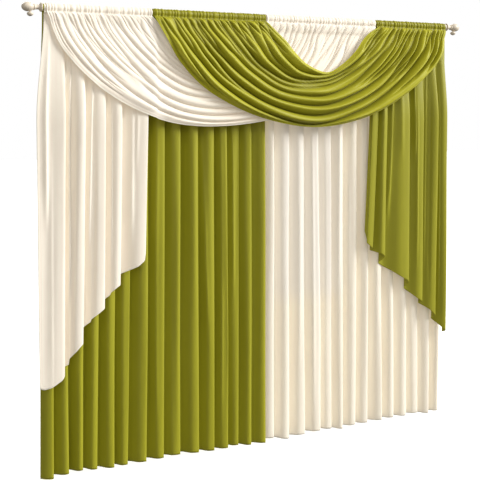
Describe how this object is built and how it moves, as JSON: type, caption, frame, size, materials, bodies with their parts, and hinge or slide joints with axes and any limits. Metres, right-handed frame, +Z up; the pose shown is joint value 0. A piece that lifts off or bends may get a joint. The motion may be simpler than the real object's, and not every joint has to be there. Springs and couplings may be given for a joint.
{
  "type": "curtain panels with swags and tails on a rod",
  "caption": "Gathered floor-length curtain panels with crossing draped swags and stepped side tails, hung together from a turned wooden rod with ball finials.",
  "frame": {"origin": "on the rod's axis, at the middle of the rod", "axes": "+X along the rod, from the left end to the right as seen from the room; +Y from the room towards the wall; +Z up"},
  "size_m": [2.918, 0.169, 2.5058],
  "materials": {
    "rod_wood": "cream washed wood, satin",
    "green_cloth": "smooth knitted polyester with a soft sheen",
    "cream_cloth": "smooth knitted polyester with a soft sheen",
    "cream_sheer": "thinner knitted polyester, slightly translucent"
  },
  "bodies": {
    "root": {"rod": "rod_wood", "finial_left": "rod_wood", "finial_right": "rod_wood", "drop_left": "rod_wood", "drop_right": "rod_wood", "green_panel": "green_cloth", "green_tail": "green_cloth", "green_swag": "green_cloth", "cream_tail": "cream_cloth", "cream_swag": "cream_cloth", "cream_panel": "cream_sheer"}
  },
  "joints": []
}
